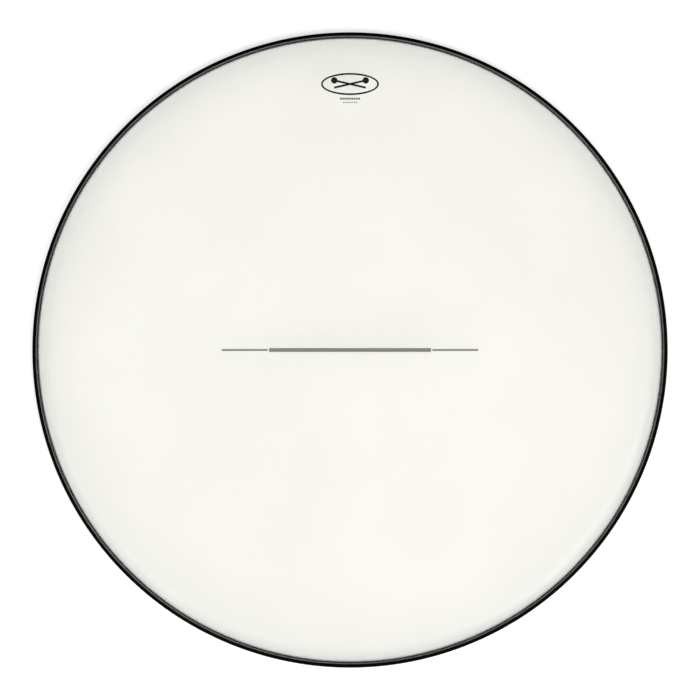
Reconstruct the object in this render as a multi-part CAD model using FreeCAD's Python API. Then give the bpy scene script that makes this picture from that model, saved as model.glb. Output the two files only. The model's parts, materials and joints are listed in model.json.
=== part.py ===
"""Timpani drumhead: a heat-formed polyester film locked into a low-profile channel hoop.

Frame: millimetres, +Z up. The origin is the centre of the hoop's underside, the playing surface faces +Z, and +Y
points from the middle of the head to the printed badge.

The hoop is a rolled U channel. Its outer leg has a lip that is rolled inwards, its inner leg is shorter, and the
slot between them faces up. The film comes down through that slot and its hem hooks under and round a steel insert
ring. Resin fills the channel, goes through slots punched in the hem, and locks film, ring and channel together.
Every turned section is drawn in the XZ plane, with X as the radius, and revolved about Z.
"""

import FreeCAD
import Part

import math
import os

# ---------------------------------------------------------------- driving dimensions, in millimetres and degrees
HOOP_OD = 711.2  # a 28 inch head is measured across its hoop
HOOP_WIDTH = 6.5  # outer face to inner face of the channel
HOOP_HEIGHT = 9.5
PLAYING_HEIGHT = 20.5  # top of the film above the hoop's underside
FLAT_RADIUS = 329.0  # the film is flat to here, and the shoulder starts
FILM = 0.25  # thickness of the film

# channel section
FLOOR_WALL = 1.2
OUTER_WALL = 1.2
INNER_WALL = 1.4
INNER_LEG_HEIGHT = 7.4
LIP_REACH = 2.65  # how far the lip stands in from the outer leg's inner face
OUTER_TOP_RADIUS = 1.2
FOOT_RADIUS = 0.6
CHANNEL_GAP = 0.12  # the open hairline of the rolled channel's butt joint
CHANNEL_JOINT_ANGLE = -60.0  # measured from +X towards +Y

# film section
SHOULDER_RADIUS = 24.0  # to the middle of the film's thickness
COLLAR_ANGLE = 48.0  # slope of the collar below the shoulder
THROAT_RADIUS = 2.0  # the last bend, from the collar's slope to straight down
HEM_RADIUS = 350.75  # where the film goes down into the channel, middle of its thickness
HOOK_RADIUS = 0.6
HOOK_BOTTOM = 1.55  # height of the hook's lowest stretch, middle of its thickness
HOOK_RUN = 1.85  # flat stretch under the insert ring
HOOK_END = 1.1  # upturned edge outside the insert ring

# slots punched in the hem for the resin
LOCK_SLOTS = 72
LOCK_SLOT_LENGTH = 8.0
LOCK_SLOT_HEIGHT = 2.0
LOCK_SLOT_MIDDLE = 4.2

# steel insert ring, a rolled flat bar on edge
INSERT_INNER_RADIUS = 351.2
INSERT_WIDTH = 2.3
INSERT_BOTTOM = 1.8
INSERT_HEIGHT = 4.6
INSERT_CORNER = 0.5
INSERT_GAP = 1.0
INSERT_JOINT_ANGLE = CHANNEL_JOINT_ANGLE + 180.0  # opposite the channel's joint, so each bridges the other's

# resin levels on the two sides of the film
RESIN_TOP_INSIDE = 6.7
RESIN_TOP_OUTSIDE = 8.1

# printed marks
INK = 0.1  # thickness of the printed ink
CENTRE_BAR_WIDTH = 4.3
CENTRE_BAR_HALF_LENGTH = 90.1
END_LINE_WIDTH = 2.2
END_LINE_START = 91.7
END_LINE_END = 142.7
BADGE_Y = 296.0
BADGE_LENGTH = 64.4
BADGE_HEIGHT = 24.6
BADGE_STROKE = 2.0
MALLET_LENGTH = 36.0  # from the butt of the stick to the middle of the head
MALLET_STICK = 2.2
MALLET_HEAD = 7.2  # diameter
MALLET_SLOPE = 13.0
BADGE_TICKS = ((279.7, 9, 2.55, 1.6, 2.2), (275.6, 9, 1.85, 1.0, 1.2))  # rows of (Y, count, pitch, length, height)

# worked out from the above
HOOP_RADIUS = HOOP_OD / 2
HOOP_BORE_RADIUS = HOOP_RADIUS - HOOP_WIDTH
CAVITY_OUTER = HOOP_RADIUS - OUTER_WALL
CAVITY_INNER = HOOP_BORE_RADIUS + INNER_WALL
FULL_TURN = 360.0


def point(radius, height):
    """A point of a turned section, in the XZ plane."""
    return FreeCAD.Vector(radius, 0, height)


def line(a, b):
    return Part.LineSegment(point(*a), point(*b)).toShape()


def corner(centre, radius, start, end):
    """Arc of a section about centre, from the start angle to the end angle, in degrees from +X towards +Z."""

    def at(angle):
        turn = math.radians(angle)
        return point(centre[0] + radius * math.cos(turn), centre[1] + radius * math.sin(turn))

    return Part.Arc(at(start), at((start + end) / 2), at(end)).toShape()


def turned(edges, gap=0.0, joint_angle=0.0):
    """Revolves a closed section about Z. A gap leaves the ring open by that length at the joint angle."""
    face = Part.Face(Part.Wire(Part.__sortEdges__(edges)))
    middle_radius = face.CenterOfMass.x
    open_angle = math.degrees(gap / middle_radius)
    axis = FreeCAD.Vector(0, 0, 1)
    face.rotate(FreeCAD.Vector(0, 0, 0), axis, joint_angle + open_angle / 2)
    return face.revolve(FreeCAD.Vector(0, 0, 0), axis, FULL_TURN - open_angle)


def channel_section():
    """The channel's outline: floor, short inner leg with a round top, outer leg with the lip rolled inwards."""
    nose = OUTER_WALL / 2
    leg_round = INNER_WALL / 2
    leg_shoulder = INNER_LEG_HEIGHT - leg_round
    lip_bottom = HOOP_HEIGHT - OUTER_WALL
    nose_middle = CAVITY_OUTER - LIP_REACH + nose
    leg_middle = HOOP_BORE_RADIUS + leg_round
    top_start = HOOP_RADIUS - OUTER_TOP_RADIUS
    return [
        line((HOOP_BORE_RADIUS + FOOT_RADIUS, 0), (HOOP_RADIUS - FOOT_RADIUS, 0)),
        corner((HOOP_RADIUS - FOOT_RADIUS, FOOT_RADIUS), FOOT_RADIUS, -90, 0),
        line((HOOP_RADIUS, FOOT_RADIUS), (HOOP_RADIUS, HOOP_HEIGHT - OUTER_TOP_RADIUS)),
        corner((top_start, HOOP_HEIGHT - OUTER_TOP_RADIUS), OUTER_TOP_RADIUS, 0, 90),
        line((top_start, HOOP_HEIGHT), (nose_middle, HOOP_HEIGHT)),
        corner((nose_middle, HOOP_HEIGHT - nose), nose, 90, 270),
        line((nose_middle, lip_bottom), (CAVITY_OUTER, lip_bottom)),
        line((CAVITY_OUTER, lip_bottom), (CAVITY_OUTER, FLOOR_WALL)),
        line((CAVITY_OUTER, FLOOR_WALL), (CAVITY_INNER, FLOOR_WALL)),
        line((CAVITY_INNER, FLOOR_WALL), (CAVITY_INNER, leg_shoulder)),
        corner((leg_middle, leg_shoulder), leg_round, 0, 180),
        line((HOOP_BORE_RADIUS, leg_shoulder), (HOOP_BORE_RADIUS, FOOT_RADIUS)),
        corner((HOOP_BORE_RADIUS + FOOT_RADIUS, FOOT_RADIUS), FOOT_RADIUS, 180, 270),
    ]


def collar_run():
    """Length of the collar's straight slope, between the shoulder and the throat."""
    slope = math.radians(COLLAR_ANGLE)
    shoulder_end = FLAT_RADIUS + SHOULDER_RADIUS * math.sin(slope)
    throat_start = HEM_RADIUS - THROAT_RADIUS * (1 - math.sin(slope))
    return (throat_start - shoulder_end) / math.cos(slope)


def throat_end_height():
    """Height at which the film starts to run straight down into the channel."""
    slope = math.radians(COLLAR_ANGLE)
    shoulder_drop = SHOULDER_RADIUS * (1 - math.cos(slope))
    collar_drop = collar_run() * math.sin(slope)
    throat_drop = THROAT_RADIUS * math.cos(slope)
    return PLAYING_HEIGHT - FILM / 2 - shoulder_drop - collar_drop - throat_drop


def film_moves():
    """The middle line of the film from its axis to its hem, as straight runs and bends.

    A bend is (radius, turn): positive turns bend down or outwards-down, and negative turns bend the hem back up.
    """
    drop = throat_end_height() - HOOK_BOTTOM - HOOK_RADIUS
    return [
        ("run", FLAT_RADIUS),
        ("bend", SHOULDER_RADIUS, COLLAR_ANGLE),
        ("run", collar_run()),
        ("bend", THROAT_RADIUS, 90 - COLLAR_ANGLE),
        ("run", drop),
        ("bend", HOOK_RADIUS, -90),
        ("run", HOOK_RUN),
        ("bend", HOOK_RADIUS, -90),
        ("run", HOOK_END),
    ]


def film_section():
    """The film's outline: both faces follow the middle line at half the thickness, closed at the axis and the hem."""
    place = (0.0, PLAYING_HEIGHT - FILM / 2)
    heading = 0.0  # degrees below +X
    edges = []

    def off(where, angle, distance):
        """The point that far to the left of the heading, which is the film's upper or outer side."""
        turn = math.radians(angle)
        return (where[0] + distance * math.sin(turn), where[1] + distance * math.cos(turn))

    start = place
    for move in film_moves():
        if move[0] == "run":
            turn = math.radians(heading)
            end = (place[0] + move[1] * math.cos(turn), place[1] - move[1] * math.sin(turn))
            for side in (FILM / 2, -FILM / 2):
                edges.append(line(off(place, heading, side), off(end, heading, side)))
        else:
            radius, angle = move[1], move[2]
            inward = math.copysign(radius, angle)
            centre = off(place, heading, -inward)
            end = off(centre, heading + angle, inward)
            first = 90 - heading if angle > 0 else 270 - heading
            for side in (FILM / 2, -FILM / 2):
                edges.append(corner(centre, radius + math.copysign(side, side * angle), first, first - angle))
            heading += angle
        place = end
    edges.append(line(off(start, 0, FILM / 2), off(start, 0, -FILM / 2)))
    edges.append(line(off(place, heading, FILM / 2), off(place, heading, -FILM / 2)))
    return edges


def lock_slot_cutters():
    """One round-ended cutter through the hem for each slot."""
    half = LOCK_SLOT_HEIGHT / 2
    straight = LOCK_SLOT_LENGTH - LOCK_SLOT_HEIGHT
    depth = 4 * FILM
    bar = Part.makeBox(depth, straight, LOCK_SLOT_HEIGHT, FreeCAD.Vector(0, -straight / 2, -half))
    for side in (-1, 1):
        bar = bar.fuse(
            Part.makeCylinder(half, depth, FreeCAD.Vector(0, side * straight / 2, 0), FreeCAD.Vector(1, 0, 0))
        )
    bar.translate(FreeCAD.Vector(HEM_RADIUS - depth / 2, 0, LOCK_SLOT_MIDDLE))
    cutters = []
    for index in range(LOCK_SLOTS):
        cutter = bar.copy()
        cutter.rotate(FreeCAD.Vector(0, 0, 0), FreeCAD.Vector(0, 0, 1), FULL_TURN * index / LOCK_SLOTS)
        cutters.append(cutter)
    return cutters


def film_membrane():
    return turned(film_section()).cut(lock_slot_cutters())


def hoop_channel():
    return turned(channel_section(), CHANNEL_GAP, CHANNEL_JOINT_ANGLE)


def steel_insert_ring():
    left, right = INSERT_INNER_RADIUS, INSERT_INNER_RADIUS + INSERT_WIDTH
    bottom, top = INSERT_BOTTOM, INSERT_BOTTOM + INSERT_HEIGHT
    c = INSERT_CORNER
    section = [
        line((left + c, bottom), (right - c, bottom)),
        corner((right - c, bottom + c), c, -90, 0),
        line((right, bottom + c), (right, top - c)),
        corner((right - c, top - c), c, 0, 90),
        line((right - c, top), (left + c, top)),
        corner((left + c, top - c), c, 90, 180),
        line((left, top - c), (left, bottom + c)),
        corner((left + c, bottom + c), c, 180, 270),
    ]
    return turned(section, INSERT_GAP, INSERT_JOINT_ANGLE)


def locking_resin(film, insert):
    """The resin is what the film and the insert ring leave of the channel's inside, up to its level on each side."""
    throat_end = throat_end_height()
    rise = RESIN_TOP_OUTSIDE - throat_end
    film_at_top = HEM_RADIUS - THROAT_RADIUS + math.sqrt(THROAT_RADIUS**2 - rise**2)
    inside = turned(
        [
            line((CAVITY_INNER, FLOOR_WALL), (CAVITY_OUTER, FLOOR_WALL)),
            line((CAVITY_OUTER, FLOOR_WALL), (CAVITY_OUTER, RESIN_TOP_OUTSIDE)),
            line((CAVITY_OUTER, RESIN_TOP_OUTSIDE), (film_at_top, RESIN_TOP_OUTSIDE)),
            line((film_at_top, RESIN_TOP_OUTSIDE), (HEM_RADIUS, throat_end)),
            line((HEM_RADIUS, throat_end), (HEM_RADIUS, RESIN_TOP_INSIDE)),
            line((HEM_RADIUS, RESIN_TOP_INSIDE), (CAVITY_INNER, RESIN_TOP_INSIDE)),
            line((CAVITY_INNER, RESIN_TOP_INSIDE), (CAVITY_INNER, FLOOR_WALL)),
        ]
    )
    return inside.cut([film, insert])


def ink_box(length, width, middle_x, middle_y):
    """A printed rectangle on the playing surface."""
    corner_point = FreeCAD.Vector(middle_x - length / 2, middle_y - width / 2, PLAYING_HEIGHT)
    return Part.makeBox(length, width, INK, corner_point)


def centre_line_print():
    """A bar across the middle of the head, carried on at each end by a narrower line."""
    length = END_LINE_END - END_LINE_START
    lines = [ink_box(2 * CENTRE_BAR_HALF_LENGTH, CENTRE_BAR_WIDTH, 0, 0)]
    for side in (-1, 1):
        lines.append(ink_box(length, END_LINE_WIDTH, side * (END_LINE_START + length / 2), 0))
    return Part.makeCompound(lines)


def oval(half_length, half_height):
    """A solid oval of ink centred on the badge."""
    curve = Part.Ellipse(FreeCAD.Vector(0, BADGE_Y, PLAYING_HEIGHT), half_length, half_height)
    return Part.Face(Part.Wire(curve.toShape())).extrude(FreeCAD.Vector(0, 0, INK))


def mallet(side):
    """One of the two crossed mallets: a stick with a round head, its middle at the badge's centre."""
    stick = ink_box(MALLET_LENGTH, MALLET_STICK, 0, 0)
    head = Part.makeCylinder(MALLET_HEAD / 2, INK, FreeCAD.Vector(MALLET_LENGTH / 2, 0, PLAYING_HEIGHT))
    shape = stick.fuse(head)
    angle = MALLET_SLOPE if side > 0 else 180 - MALLET_SLOPE
    shape.rotate(FreeCAD.Vector(0, 0, 0), FreeCAD.Vector(0, 0, 1), angle)
    shape.translate(FreeCAD.Vector(0, BADGE_Y, 0))
    return shape


def badge_print():
    """A plain oval ring with two crossed mallets in it, and two short rows of ticks below."""
    half_length, half_height = BADGE_LENGTH / 2, BADGE_HEIGHT / 2
    ring = oval(half_length, half_height).cut(oval(half_length - BADGE_STROKE, half_height - BADGE_STROKE))
    mallets = mallet(1).fuse(mallet(-1))
    ticks = []
    for y, count, pitch, length, height in BADGE_TICKS:
        for index in range(count):
            ticks.append(ink_box(length, height, (index - (count - 1) / 2) * pitch, y))
    return Part.makeCompound([ring, *mallets.removeSplitter().Solids, *ticks])


def main():
    film = film_membrane()
    insert = steel_insert_ring()
    parts = {
        "film_membrane": film,
        "hoop_channel": hoop_channel(),
        "steel_insert_ring": insert,
        "locking_resin": locking_resin(film, insert),
        "centre_line_print": centre_line_print(),
        "badge_print": badge_print(),
    }
    os.makedirs("parts", exist_ok=True)
    for name, shape in parts.items():
        print(f"{name}: {len(shape.Solids)} solid(s), {shape.Volume:.1f} mm3, valid {shape.isValid()}")
        shape.exportStep(f"parts/{name}.step")


main()
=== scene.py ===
import json
import math

import bpy
import numpy as np
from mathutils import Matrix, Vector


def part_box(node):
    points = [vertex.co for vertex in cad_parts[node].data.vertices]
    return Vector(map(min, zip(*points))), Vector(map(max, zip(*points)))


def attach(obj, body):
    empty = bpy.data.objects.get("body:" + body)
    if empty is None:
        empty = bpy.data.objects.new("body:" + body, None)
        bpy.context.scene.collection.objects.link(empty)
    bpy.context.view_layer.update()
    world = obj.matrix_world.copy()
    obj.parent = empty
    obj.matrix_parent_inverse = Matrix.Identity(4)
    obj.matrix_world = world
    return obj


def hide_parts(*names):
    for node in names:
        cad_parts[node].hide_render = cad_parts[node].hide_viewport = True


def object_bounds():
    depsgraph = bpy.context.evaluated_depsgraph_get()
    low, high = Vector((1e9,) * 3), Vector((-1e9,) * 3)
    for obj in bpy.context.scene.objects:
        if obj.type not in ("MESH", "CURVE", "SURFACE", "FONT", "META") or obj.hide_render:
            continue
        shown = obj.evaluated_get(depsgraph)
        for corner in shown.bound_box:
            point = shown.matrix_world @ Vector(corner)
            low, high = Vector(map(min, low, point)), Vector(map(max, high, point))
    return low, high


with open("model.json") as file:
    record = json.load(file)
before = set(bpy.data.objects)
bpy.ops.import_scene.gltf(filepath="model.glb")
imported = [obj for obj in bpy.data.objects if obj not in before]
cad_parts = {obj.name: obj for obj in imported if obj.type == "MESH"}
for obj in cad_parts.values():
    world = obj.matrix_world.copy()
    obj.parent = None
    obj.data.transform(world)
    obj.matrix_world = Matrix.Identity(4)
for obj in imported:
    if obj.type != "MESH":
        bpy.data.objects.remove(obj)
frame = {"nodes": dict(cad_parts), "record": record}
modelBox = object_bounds()
mounts = {mount["name"]: mount for mount in frame["record"]["mounts"]}
print("frame loaded:", sorted(frame["nodes"]))

scene = bpy.context.scene
scene.view_settings.view_transform = "Standard"
scene.view_settings.look = "None"


# camera, floor and light
studio = {
    "frameWidth": 0.7830,       # width seen at the height of the hoop's lip
    "lens": 100,
    "sensor": 36,
    "clipEnd": 50,
    "floorSize": 24.0,
    "floorTone": (0.80, 0.80, 0.80, 1),
    "floorGlow": 0.668,         # a lit table, so that the ground stays clean
    "zenith": 0.06,             # dark overhead, so that the black lip stays black from above
    "horizon": 0.6,
    "skyFrom": 0.05,            # heights of the direction between which horizon turns to zenith
    "skyTo": 0.75,
    "windows": (0.22, -0.55, 0),    # the side of the room that is brighter, and by how much
    "keyPlace": (3.5, -3.0, 4.9),
    "keySize": 4.6,
    "keyPower": 200,
    "fillPlace": (-3.1, -3.4, 4.9),
    "fillSize": 5.4,
    "fillPower": 150,
}


def aim(item, target):
    # turns the item's -Z axis along target - item.location
    direction = target - item.location
    item.rotation_euler = direction.to_track_quat("-Z", "Y").to_euler()


def areaLight(name, place, size, power):
    light = bpy.data.lights.new(name, "AREA")
    light.size = size
    light.energy = power
    item = bpy.data.objects.new(name, light)
    scene.collection.objects.link(item)
    item.location = place
    aim(item, (modelBox[0] + modelBox[1]) / 2)


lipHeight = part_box("hoop_channel")[1].z
camera = bpy.data.objects.new("camera", bpy.data.cameras.new("camera"))
camera.data.lens = studio["lens"]
camera.data.sensor_width = studio["sensor"]
camera.data.clip_end = studio["clipEnd"]
camera.location = (0, 0, lipHeight + studio["frameWidth"] * studio["lens"] / studio["sensor"])
scene.collection.objects.link(camera)
scene.camera = camera

areaLight("keyLight", studio["keyPlace"], studio["keySize"], studio["keyPower"])
areaLight("fillLight", studio["fillPlace"], studio["fillSize"], studio["fillPower"])


# shader maths
class Field:
    # a number or colour that changes over a surface; expressions on it add Math nodes
    def __init__(self, finish, socket):
        self.finish = finish
        self.socket = socket

    def calc(self, operation, first, second):
        return self.finish.add("ShaderNodeMath", {"operation": operation}, {0: first, 1: second})

    def __add__(self, other):
        return self.calc("ADD", self, other)

    def __radd__(self, other):
        return self.calc("ADD", other, self)

    def __sub__(self, other):
        return self.calc("SUBTRACT", self, other)

    def __mul__(self, other):
        return self.calc("MULTIPLY", self, other)

    def __pow__(self, other):
        return self.calc("POWER", self, other)

    def between(self, low, high, shape="SMOOTHSTEP"):
        # 0 at low, 1 at high, flat outside
        return self.finish.add("ShaderNodeMapRange", {"interpolation_type": shape},
                               {"Value": self, "From Min": low, "From Max": high})


class Finish:
    # one material on a Principled shader; its other nodes come from add()
    def __init__(self, name, **constants):
        self.material = bpy.data.materials.new(name)
        self.material.use_nodes = True
        self.tree = self.material.node_tree
        self.shader = self.tree.nodes["Principled BSDF"]
        for key, value in constants.items():
            self.set(key.replace("_", " "), value)

    def feed(self, socket, value):
        if isinstance(value, Field):
            self.tree.links.new(value.socket, socket)
        else:
            socket.default_value = value

    def set(self, name, value):
        self.feed(self.shader.inputs[name], value)

    def add(self, kind, settings=None, inputs=None, output=0):
        node = self.tree.nodes.new(kind)
        for key, value in (settings or {}).items():
            setattr(node, key, value)
        for key, value in (inputs or {}).items():
            self.feed(node.inputs[key], value)
        return Field(self, node.outputs[output])

    def place(self):
        # the point in the object's own frame
        return self.add("ShaderNodeTexCoord", output=3)

    def radiusAndHeight(self, where):
        # sqrt(x^2 + y^2) and z of the point
        split = self.add("ShaderNodeSeparateXYZ", {}, {0: where}).socket.node
        x, y, z = [Field(self, split.outputs[axis]) for axis in range(3)]
        return (x * x + y * y) ** 0.5, z

    def noise(self, where, scale, detail, roughness=0.5):
        return self.add("ShaderNodeTexNoise", {}, {"Vector": where, "Scale": scale, "Detail": detail,
                                                   "Roughness": roughness})

    def drawnLines(self, radius, height, scale, detail):
        # noise of radius and height only, so that its lines run round the ring
        across = self.add("ShaderNodeCombineXYZ", {}, {0: radius, 1: height})
        return self.noise(across, scale, detail)

    def blend(self, factor, first, second):
        return self.add("ShaderNodeMix", {"data_type": "RGBA"}, {0: factor, 6: first, 7: second}, 2)

    def bump(self, height, strength, distance, under=None):
        inputs = {"Strength": strength, "Distance": distance, "Height": height}
        if under is not None:
            inputs["Normal"] = under
        return self.add("ShaderNodeBump", {}, inputs)

    def on(self, piece):
        piece.data.materials.clear()
        piece.data.materials.append(self.material)


# turned surfaces
def arc(centre, radius, start, end, count):
    # centre + radius * (cos a, sin a), with a even from start to end in degrees
    turn = np.radians(np.linspace(start, end, count))
    return np.stack([centre[0] + radius * np.cos(turn), centre[1] + radius * np.sin(turn)], axis=1)


def carried(outline, angles):
    # P(i, j) = (r_i cos t_j, r_i sin t_j, z_i) for an outline of points (r, z)
    radius, height = outline[:, :1], outline[:, 1:]
    grid = np.stack([radius * np.cos(angles), radius * np.sin(angles), height + 0 * angles], axis=2)
    return grid.reshape(-1, 3)


def quads(first, second, third, fourth):
    return np.stack([first, second, third, fourth], axis=-1).reshape(-1, 4)


sharpFrom = 35     # degrees between two faces, from which their common edge is sharp


def makeMesh(name, points, faces):
    # faces is a list of index arrays; they are merged into one mesh with smooth shading
    mesh = bpy.data.meshes.new(name)
    mesh.from_pydata(points, [], [face for group in faces for face in np.asarray(group).tolist()])
    mesh.validate()
    mesh.polygons.foreach_set("use_smooth", np.ones(len(mesh.polygons), dtype=bool))
    mesh.set_sharp_from_angle(angle=math.radians(sharpFrom))
    mesh.update()
    piece = bpy.data.objects.new(name, mesh)
    scene.collection.objects.link(piece)
    print(name, len(mesh.vertices), "points", len(mesh.polygons), "faces")
    return piece


def sideFaces(rows, angles, closedOutline, closedTurn):
    # outward faces of a surface whose outline runs anticlockwise in (r, z)
    step = np.arange(rows if closedOutline else rows - 1)[:, None]
    turn = np.arange(len(angles) if closedTurn else len(angles) - 1)[None, :]
    nextStep, nextTurn = (step + 1) % rows, (turn + 1) % len(angles)
    wide = len(angles)
    row, nextRow = step * wide, nextStep * wide
    return quads(row + turn, row + nextTurn, nextRow + nextTurn, nextRow + turn)


def openRing(name, outline, jointAngle, gap, segments):
    # a closed outline carried round the axis from one side of its butt joint to the other,
    # with both ends shut
    middle = outline[:, 0].mean()
    half = gap / middle / 2
    angles = math.radians(jointAngle) + np.linspace(half, 2 * math.pi - half, segments + 1)
    rows = len(outline)
    startCap = np.arange(rows) * len(angles)
    endCap = startCap[::-1] + len(angles) - 1
    return makeMesh(name, carried(outline, angles),
                    [sideFaces(rows, angles, True, False), [startCap], [endCap]])


# the hoop
hoop = {
    "outerRadius": mounts["counterhoop_fit"]["dims"]["r_mm"] / 1000,
    "width": 0.0065,
    "height": lipHeight,
    "floorWall": 0.0012,
    "outerWall": 0.0012,
    "innerWall": 0.0014,
    "innerLegHeight": 0.0074,
    "lipReach": 0.00265,
    "topCorner": 0.0012,
    "footCorner": 0.0006,
    "insideCorner": 0.00025,
    "jointAngle": -60,          # degrees from +X
    "jointGap": 0.00012,
    "segments": 720,
}


def hoopOutline(h):
    # foot, outer wall, lip rolled inwards with a round nose, cavity, round-topped inner leg; anticlockwise
    outer, height = h["outerRadius"], h["height"]
    inner = outer - h["width"]
    cavityOuter, cavityInner = outer - h["outerWall"], inner + h["innerWall"]
    nose, legRound = h["outerWall"] / 2, h["innerWall"] / 2
    noseMiddle = cavityOuter - h["lipReach"] + nose
    legTop = h["innerLegHeight"] - legRound
    foot, top, inside = h["footCorner"], h["topCorner"], h["insideCorner"]
    return np.concatenate([
        arc((outer - foot, foot), foot, -90, 0, 6),
        arc((outer - top, height - top), top, 0, 90, 10),
        arc((noseMiddle, height - nose), nose, 90, 270, 13),
        arc((cavityOuter - inside, height - 2 * nose - inside), inside, 90, 0, 4),
        arc((cavityOuter - inside, h["floorWall"] + inside), inside, 0, -90, 4),
        arc((cavityInner + inside, h["floorWall"] + inside), inside, 270, 180, 4),
        arc((inner + legRound, legTop), legRound, 0, 180, 13),
        arc((inner + foot, foot), foot, 180, 270, 6),
    ])


blackHoop = openRing("black_hoop", hoopOutline(hoop), hoop["jointAngle"], hoop["jointGap"], hoop["segments"])
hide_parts("hoop_channel")
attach(blackHoop, "root")


# the film
film = {
    "thickness": 0.00025,
    "top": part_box("film_membrane")[1].z,
    "flatRadius": 0.329,
    "flatRings": 12,
    "shoulder": 0.024,
    "shoulderSteps": 20,
    "collarAngle": 48,
    "throat": 0.002,
    "throatSteps": 8,
    "hemRadius": 0.35075,
    "hook": 0.0006,
    "hookSteps": 6,
    "hookHeight": 0.00155,
    "hookRun": 0.00185,
    "hookEnd": 0.0011,
    "slots": 72,
    "slotLength": 0.008,
    "slotBottom": 0.0032,
    "slotTop": 0.0052,
    "segmentsPerSlot": 10,
}


def filmMiddle(f):
    # the film's middle line from its axis to its hem: points (r, z), and at each the direction
    # of the film's upper or outer side
    slope = math.radians(f["collarAngle"])
    slopeSide = 90 - f["collarAngle"]
    top = f["top"] - f["thickness"] / 2
    throatMiddle = f["hemRadius"] - f["throat"]
    throatStart = throatMiddle + f["throat"] * math.sin(slope)
    shoulderEnd = f["flatRadius"] + f["shoulder"] * math.sin(slope)
    collarDrop = (throatStart - shoulderEnd) * math.tan(slope)
    throatHeight = top - f["shoulder"] * (1 - math.cos(slope)) - collarDrop - f["throat"] * math.cos(slope)
    hookMiddle = f["hookHeight"] + f["hook"]
    turnOut = f["hemRadius"] + f["hook"]
    turnUp = turnOut + f["hookRun"]
    lastRadius = turnUp + f["hook"]
    # rings of the flat part, closer together towards the shoulder
    flat = np.linspace(0, 0.94, f["flatRings"]) ** 0.6 * f["flatRadius"]
    points = [
        np.stack([flat, 0 * flat + top], axis=1),
        arc((f["flatRadius"], top - f["shoulder"]), f["shoulder"], 90, slopeSide, f["shoulderSteps"]),
        arc((throatMiddle, throatHeight), f["throat"], slopeSide, 0, f["throatSteps"]),
        np.array([[f["hemRadius"], f["slotTop"]], [f["hemRadius"], f["slotBottom"]]]),
        arc((turnOut, hookMiddle), f["hook"], 180, 270, f["hookSteps"]),
        arc((turnUp, hookMiddle), f["hook"], 270, 360, f["hookSteps"]),
        np.array([[lastRadius, hookMiddle + f["hookEnd"]]]),
    ]
    sides = [
        np.stack([0 * flat, 0 * flat + 1], axis=1),
        arc((0, 0), 1, 90, slopeSide, f["shoulderSteps"]),
        arc((0, 0), 1, slopeSide, 0, f["throatSteps"]),
        np.array([[1.0, 0.0], [1.0, 0.0]]),
        arc((0, 0), 1, 0, 90, f["hookSteps"]),
        arc((0, 0), 1, 90, 180, f["hookSteps"]),
        np.array([[-1.0, 0.0]]),
    ]
    slotRow = sum(len(run) for run in points[:3])
    return np.concatenate(points), np.concatenate(sides), slotRow


def makeFilm(f):
    # both faces follow the middle line at half the thickness, and slots go through the hem between two rows
    middle, side, slotRow = filmMiddle(f)
    half = f["thickness"] / 2
    lower, upper = middle - side * half, middle + side * half
    outline = np.concatenate([lower[1:], upper[:0:-1]])
    rows = len(outline)
    pitch = 2 * math.pi / f["slots"]
    slotHalf = f["slotLength"] / f["hemRadius"] / 2
    perSlot = f["segmentsPerSlot"]
    within = np.concatenate([np.linspace(-slotHalf, slotHalf, 4),
                             np.linspace(slotHalf, pitch - slotHalf, perSlot - 2)[1:-1]])
    angles = (np.arange(f["slots"])[:, None] * pitch + within).ravel()
    wide = len(angles)
    points = np.concatenate([carried(outline, angles), [[0, 0, lower[0, 1]], [0, 0, upper[0, 1]]]])
    innerTop = slotRow - 1
    innerBottom = innerTop + 1
    outerTop = rows - 1 - innerTop
    outerBottom = outerTop - 1
    faces = sideFaces(rows, angles, False, True).reshape(rows - 1, wide, 4)
    column = np.arange(wide)
    slotted = column % perSlot < 3
    kept = [faces[row][~slotted] if row in (innerTop, outerBottom) else faces[row] for row in range(rows - 1)]
    cut, after = column[slotted], (column[slotted] + 1) % wide
    first, last = column[column % perSlot == 0], column[column % perSlot == 3]

    def at(row, place):
        return row * wide + place

    walls = [
        quads(at(innerTop, cut), at(innerTop, after), at(outerTop, after), at(outerTop, cut)),
        quads(at(outerBottom, cut), at(outerBottom, after), at(innerBottom, after), at(innerBottom, cut)),
        quads(at(outerTop, first), at(outerBottom, first), at(innerBottom, first), at(innerTop, first)),
        quads(at(innerTop, last), at(innerBottom, last), at(outerBottom, last), at(outerTop, last)),
    ]
    turned = (column + 1) % wide
    lowerPole, upperPole = rows * wide, rows * wide + 1
    caps = [
        np.stack([0 * column + lowerPole, turned, column], axis=1),
        np.stack([0 * column + upperPole, (rows - 1) * wide + column, (rows - 1) * wide + turned], axis=1),
    ]
    return makeMesh("frosted_film", points, kept + walls + caps)


frostedFilm = makeFilm(film)
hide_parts("film_membrane")
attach(frostedFilm, "root")


# the resin, poured round the hem and the insert ring
resin = {
    "topOutside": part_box("locking_resin")[1].z,
    "topInside": 0.0067,
    "creepOutside": 0.0003,     # how far it climbs the walls it wets
    "creepInside": 0.000075,
    "segments": 720,
    "insertInner": 0.3512,
    "insertWidth": 0.0023,
    "insertBottom": 0.0018,
    "insertHeight": 0.0046,
    "insertCorner": 0.0005,
}


def wetTop(start, end, top, creep, count):
    # from start to end radius, top - creep * (1 - c^4) with c from -1 to 1,
    # so it stays level and climbs both walls
    across = np.linspace(-1, 1, count)
    radius = (start + end) / 2 + across * (end - start) / 2
    return np.stack([radius, top - creep * (1 - across ** 4)], axis=1)


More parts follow.
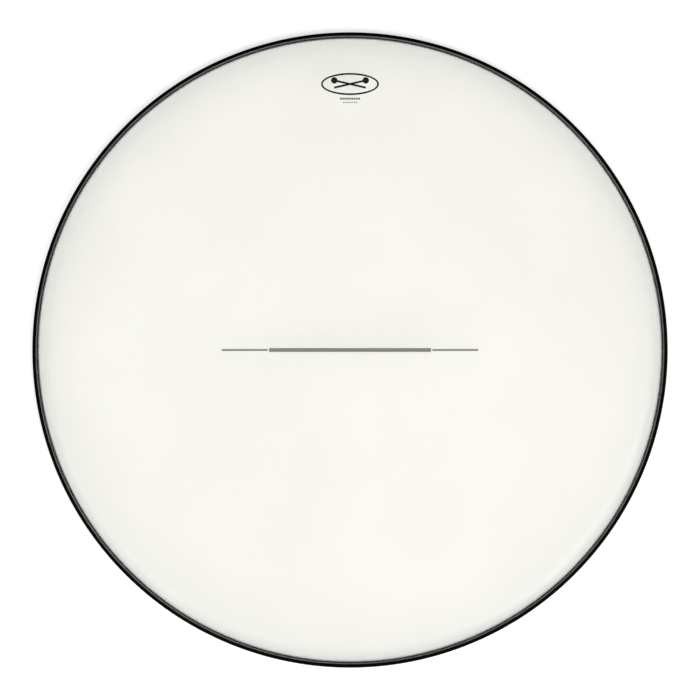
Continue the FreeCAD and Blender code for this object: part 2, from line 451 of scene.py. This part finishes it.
def makeResin(r, f, h):
    # the outline goes up the channel's walls and down and round the film's hem;
    # a second one leaves the insert's room
    middle, side, slotRow = filmMiddle(f)
    half = f["thickness"] / 2
    innerFace, outerFace = middle - side * half, middle + side * half
    row = np.arange(len(middle))
    hem, throat = row >= slotRow, row >= slotRow - f["throatSteps"]
    innerFace = innerFace[throat & (innerFace[:, 1] < r["topInside"]) | hem]
    outerFace = outerFace[throat & (outerFace[:, 1] < r["topOutside"]) | hem]
    cavityOuter = h["outerRadius"] - h["outerWall"]
    cavityInner = h["outerRadius"] - h["width"] + h["innerWall"]
    low = h["floorWall"]
    corner = r["insertCorner"]
    left, right = r["insertInner"] + corner, r["insertInner"] + r["insertWidth"] - corner
    bottom, top = r["insertBottom"] + corner, r["insertBottom"] + r["insertHeight"] - corner
    outline = np.concatenate([
        [[cavityInner, low], [cavityOuter, low]],
        wetTop(cavityOuter, outerFace[0, 0], r["topOutside"], r["creepOutside"], 15)[:-1],
        outerFace,
        innerFace[::-1],
        wetTop(innerFace[0, 0], cavityInner, r["topInside"], r["creepInside"], 5)[1:],
    ])
    room = np.concatenate([
        arc((right, bottom), corner, -90, 0, 4),
        arc((right, top), corner, 0, 90, 4),
        arc((left, top), corner, 90, 180, 4),
        arc((left, bottom), corner, 180, 270, 4),
    ])[::-1]
    angles = np.linspace(0, 2 * math.pi, r["segments"], endpoint=False)
    points = np.concatenate([carried(outline, angles), carried(room, angles)])
    outside = sideFaces(len(outline), angles, True, True)
    inside = sideFaces(len(room), angles, True, True) + len(outline) * len(angles)
    return makeMesh("cured_resin", points, [outside, inside])


curedResin = makeResin(resin, film, hoop)
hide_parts("locking_resin")
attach(curedResin, "root")

# the film's round blank, as wide as twice the way along its middle line from the axis to the hem
blank = 2 * np.linalg.norm(np.diff(filmMiddle(film)[0], axis=0), axis=1).sum()
print("film blank across:", round(float(blank), 4))


# finishes, each with its look in one dictionary
filmLook = {
    "milk": (0.962, 0.959, 0.902, 1),
    "milkThin": (0.982, 0.979, 0.926, 1),
    "formed": (0.903, 0.900, 0.864, 1),    # painted shade: the outer flat and collar drawn darker than the flat's milk, towards the hoop
    "formedFrom": 0.269,
    "formedTo": 0.335,
    "clear": (0.985, 0.980, 0.945, 1),     # painted light: the steep lower collar and hem drawn lighter than the flat's milk
    "paintedLightFrom": 0.337,
    "paintedLightTo": 0.345,
    "frosted": 0.34,            # roughness of the playing surface
    "rubbed": 0.20,             # roughness of the hem, smoother than the playing surface
    "rubbedFrom": 0.342,
    "rubbedTo": 0.3475,
    "cloudScale": 9.0,
    "grainScale": 1500.0,
}


def filmFinish(look):
    finish = Finish("frostedPolyester", IOR=1.5, Transmission_Weight=1.0, Specular_IOR_Level=0.5)
    where = finish.place()
    radius = finish.radiusAndHeight(where)[0]
    cloud = finish.noise(where, look["cloudScale"], 4)
    grain = finish.noise(where, look["grainScale"], 2)
    milk = finish.blend(cloud.between(0.35, 0.65), look["milk"], look["milkThin"])
    # painted shade: the base colour darkens with radius over the outer flat and collar, towards the hoop
    formed = radius.between(look["formedFrom"], look["formedTo"], "LINEAR") ** 2.5
    paintedShadeMilk = finish.blend(formed, milk, look["formed"])
    # painted light: over the steep lower collar and hem the base colour turns lighter than the flat
    clear = radius.between(look["paintedLightFrom"], look["paintedLightTo"])
    finish.set("Base Color", finish.blend(clear, paintedShadeMilk, look["clear"]))
    rubbed = radius.between(look["rubbedFrom"], look["rubbedTo"])
    frost = look["frosted"] + rubbed * (look["rubbed"] - look["frosted"])
    finish.set("Roughness", frost + (grain - 0.5) * 0.06 + (cloud - 0.5) * 0.05)
    finish.set("Normal", finish.bump(grain, 0.12, 0.0002))
    return finish


hoopLook = {
    "black": (0.0010, 0.0010, 0.0011, 1),
    "worn": (0.010, 0.010, 0.0105, 1),
    "roughness": 0.40,
    "grainScale": 2600.0,
    "drawnScale": 5400.0,
    "rubScale": 60.0,
    "rubFrom": 0.0080,          # height from which the coating looks rubbed
    "rubTo": 0.0094,
}


def hoopFinish(look):
    finish = Finish("blackCoatedChannel", Specular_IOR_Level=0.06)
    where = finish.place()
    radius, height = finish.radiusAndHeight(where)
    grain = finish.noise(where, look["grainScale"], 2)
    drawn = finish.drawnLines(radius, height, look["drawnScale"], 2)
    patches = finish.noise(where, look["rubScale"], 5, 0.65).between(0.60, 0.78)
    rub = patches * height.between(look["rubFrom"], look["rubTo"])
    finish.set("Base Color", finish.blend(rub, look["black"], look["worn"]))
    finish.set("Roughness", look["roughness"] + (drawn - 0.5) * 0.10 - rub * 0.08)
    finish.set("Normal", finish.bump(drawn, 0.10, 0.0001, finish.bump(grain, 0.18, 0.00012)))
    return finish


resinLook = {
    "tone": (0.44, 0.43, 0.415, 1),
    "deep": (0.35, 0.34, 0.33, 1),
    "poolScale": 140.0,
}


def resinFinish(look):
    finish = Finish("curedResin", Specular_IOR_Level=0.5)
    pool = finish.noise(finish.place(), look["poolScale"], 4)
    finish.set("Base Color", finish.blend(pool.between(0.3, 0.7), look["deep"], look["tone"]))
    finish.set("Roughness", 0.22 + pool * 0.16)
    finish.set("Normal", finish.bump(pool, 0.25, 0.0003))
    return finish


steelLook = {
    "dull": (0.42, 0.42, 0.43, 1),
    "bright": (0.56, 0.56, 0.57, 1),
    "drawnScale": 4200.0,
}


def steelFinish(look):
    finish = Finish("rolledSteel", Metallic=1.0)
    radius, height = finish.radiusAndHeight(finish.place())
    drawn = finish.drawnLines(radius, height, look["drawnScale"], 3)
    finish.set("Base Color", finish.blend(drawn.between(0.3, 0.7), look["dull"], look["bright"]))
    finish.set("Roughness", 0.28 + drawn * 0.14)
    finish.set("Normal", finish.bump(drawn, 0.2, 0.0001))
    return finish


lineInk = {
    "dark": (0.365, 0.358, 0.312, 1),
    "pale": (0.405, 0.397, 0.347, 1),
    "speckScale": 2200.0,
}
badgeInk = {
    "dark": (0.012, 0.012, 0.012, 1),
    "pale": (0.040, 0.040, 0.040, 1),
    "speckScale": 2200.0,
}


def inkFinish(name, look):
    # screen ink with fine pale specks, which are also a little rougher and higher
    finish = Finish(name, Specular_IOR_Level=0.2)
    speck = finish.noise(finish.place(), look["speckScale"], 3)
    finish.set("Base Color", finish.blend(speck.between(0.45, 0.8), look["dark"], look["pale"]))
    finish.set("Roughness", 0.42 + speck * 0.2)
    finish.set("Normal", finish.bump(speck, 0.15, 0.00005))
    return finish


filmFinish(filmLook).on(frostedFilm)
hoopFinish(hoopLook).on(blackHoop)
resinFinish(resinLook).on(curedResin)
steelFinish(steelLook).on(frame["nodes"]["steel_insert_ring"])
inkFinish("lineInk", lineInk).on(frame["nodes"]["centre_line_print"])
inkFinish("badgeInk", badgeInk).on(frame["nodes"]["badge_print"])
print("finishes made")


# floor and sky
def makeFloor(size):
    # a flat square at z = 0
    half = size / 2
    corners = np.array([[-half, -half, 0], [half, -half, 0], [half, half, 0], [-half, half, 0]])
    piece = makeMesh("floor", corners, [[[0, 1, 2, 3]]])
    finish = Finish("paleFloor", Base_Color=studio["floorTone"], Roughness=0.9, Specular_IOR_Level=0.1,
                    Emission_Color=(1, 1, 1, 1), Emission_Strength=studio["floorGlow"])
    finish.on(piece)


def makeSky():
    # grey from zenith to horizon by the height of the direction looked at, times 1 + direction . windows
    world = bpy.data.worlds.new("softRoom")
    scene.world = world
    world.use_nodes = True
    tree = world.node_tree
    where = tree.nodes.new("ShaderNodeTexCoord")
    split = tree.nodes.new("ShaderNodeSeparateXYZ")
    ramp = tree.nodes.new("ShaderNodeMapRange")
    ramp.interpolation_type = "SMOOTHSTEP"
    tree.links.new(where.outputs["Generated"], split.inputs[0])
    tree.links.new(split.outputs[2], ramp.inputs["Value"])
    ramp.inputs["From Min"].default_value = studio["skyFrom"]
    ramp.inputs["From Max"].default_value = studio["skyTo"]
    ramp.inputs["To Min"].default_value = studio["horizon"]
    ramp.inputs["To Max"].default_value = studio["zenith"]
    towards = tree.nodes.new("ShaderNodeVectorMath")
    towards.operation = "DOT_PRODUCT"
    tree.links.new(where.outputs["Generated"], towards.inputs[0])
    towards.inputs[1].default_value = studio["windows"]
    strength = tree.nodes.new("ShaderNodeMath")
    strength.operation = "MULTIPLY_ADD"
    tree.links.new(towards.outputs["Value"], strength.inputs[0])
    tree.links.new(ramp.outputs[0], strength.inputs[1])
    tree.links.new(ramp.outputs[0], strength.inputs[2])
    background = tree.nodes["Background"]
    background.inputs["Color"].default_value = (1, 1, 1, 1)
    tree.links.new(strength.outputs[0], background.inputs["Strength"])


makeFloor(studio["floorSize"])
makeSky()
print("floor and sky made")
